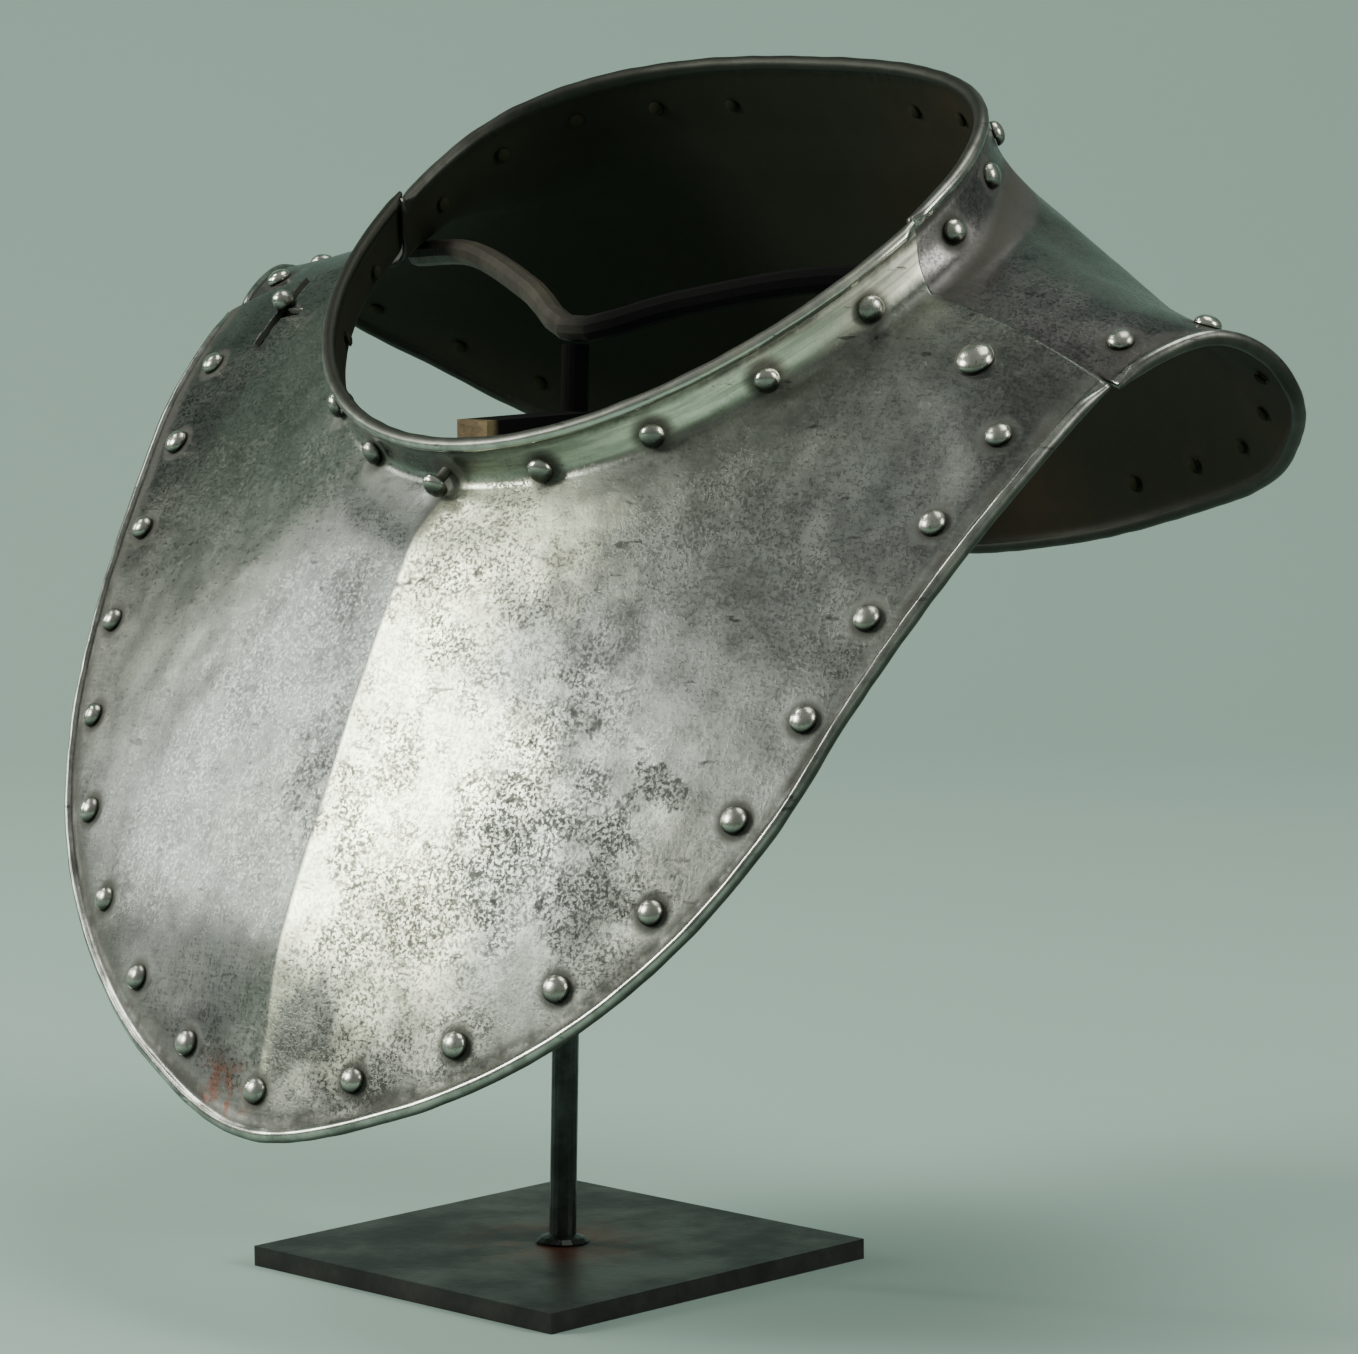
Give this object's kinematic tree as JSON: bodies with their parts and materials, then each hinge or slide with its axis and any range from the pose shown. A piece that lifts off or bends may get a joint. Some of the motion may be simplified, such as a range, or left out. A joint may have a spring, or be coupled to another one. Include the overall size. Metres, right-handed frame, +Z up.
{
  "type": "steel gorget on display stand",
  "caption": "Steel gorget of two riveted plates that turn on a shoulder pivot, with rolled rims and a ridged front, on a plain display stand.",
  "frame": {"origin": "middle of the stand's underside", "axes": "+Z up, -Y out of the gorget's ridged front, +X to the wearer's left, where the pivot is"},
  "size_m": [0.3165, 0.2253, 0.2814],
  "materials": {
    "plate_steel": "polished and darkened steel, pitted",
    "back_steel": "darkened steel",
    "rivet_steel": "polished rivet heads",
    "base_steel": "dark waxed mild steel",
    "pole_steel": "dark round bar",
    "bracket_steel": "tan painted bar"
  },
  "bodies": {
    "back_and_stand": {"back_plate": "back_steel", "back_edge_rivet_01": "rivet_steel", "back_edge_rivet_02": "rivet_steel", "back_edge_rivet_03": "rivet_steel", "back_edge_rivet_04": "rivet_steel", "back_edge_rivet_05": "rivet_steel", "back_edge_rivet_06": "rivet_steel", "back_edge_rivet_07": "rivet_steel", "back_edge_rivet_08": "rivet_steel", "back_edge_rivet_09": "rivet_steel", "back_edge_rivet_10": "rivet_steel", "back_edge_rivet_11": "rivet_steel", "back_edge_rivet_12": "rivet_steel", "back_edge_rivet_13": "rivet_steel", "back_edge_rivet_14": "rivet_steel", "back_collar_rivet_01": "rivet_steel", "back_collar_rivet_02": "rivet_steel", "back_collar_rivet_03": "rivet_steel", "back_collar_rivet_04": "rivet_steel", "back_collar_rivet_05": "rivet_steel", "back_collar_rivet_06": "rivet_steel", "back_collar_rivet_07": "rivet_steel", "back_collar_rivet_08": "rivet_steel", "back_collar_rivet_09": "rivet_steel", "back_collar_rivet_10": "rivet_steel", "pivot_rivet": "rivet_steel", "closure_stud": "rivet_steel", "stand_base": "base_steel", "stand_pole": "pole_steel", "stand_yoke": "bracket_steel", "stand_prop": "bracket_steel"},
    "front": {"front_plate": "plate_steel", "front_edge_rivet_01": "rivet_steel", "front_edge_rivet_02": "rivet_steel", "front_edge_rivet_03": "rivet_steel", "front_edge_rivet_04": "rivet_steel", "front_edge_rivet_05": "rivet_steel", "front_edge_rivet_06": "rivet_steel", "front_edge_rivet_07": "rivet_steel", "front_edge_rivet_08": "rivet_steel", "front_edge_rivet_09": "rivet_steel", "front_edge_rivet_10": "rivet_steel", "front_edge_rivet_11": "rivet_steel", "front_edge_rivet_12": "rivet_steel", "front_edge_rivet_13": "rivet_steel", "front_edge_rivet_14": "rivet_steel", "front_edge_rivet_15": "rivet_steel", "front_edge_rivet_16": "rivet_steel", "front_edge_rivet_17": "rivet_steel", "front_edge_rivet_18": "rivet_steel", "front_edge_rivet_19": "rivet_steel", "front_collar_rivet_01": "rivet_steel", "front_collar_rivet_02": "rivet_steel", "front_collar_rivet_03": "rivet_steel", "front_collar_rivet_04": "rivet_steel", "front_collar_rivet_05": "rivet_steel", "front_collar_rivet_06": "rivet_steel", "front_collar_rivet_07": "rivet_steel", "front_collar_rivet_08": "rivet_steel", "front_collar_rivet_09": "rivet_steel"}
  },
  "joints": [
    {"name": "shoulder_pivot", "type": "hinge", "parent": "back_and_stand", "child": "front", "pos_m": [0.11867, 0.01661, 0.21594], "axis": [0.1645, -0.6707, 0.7233], "range_deg": [0, 20]}
  ]
}
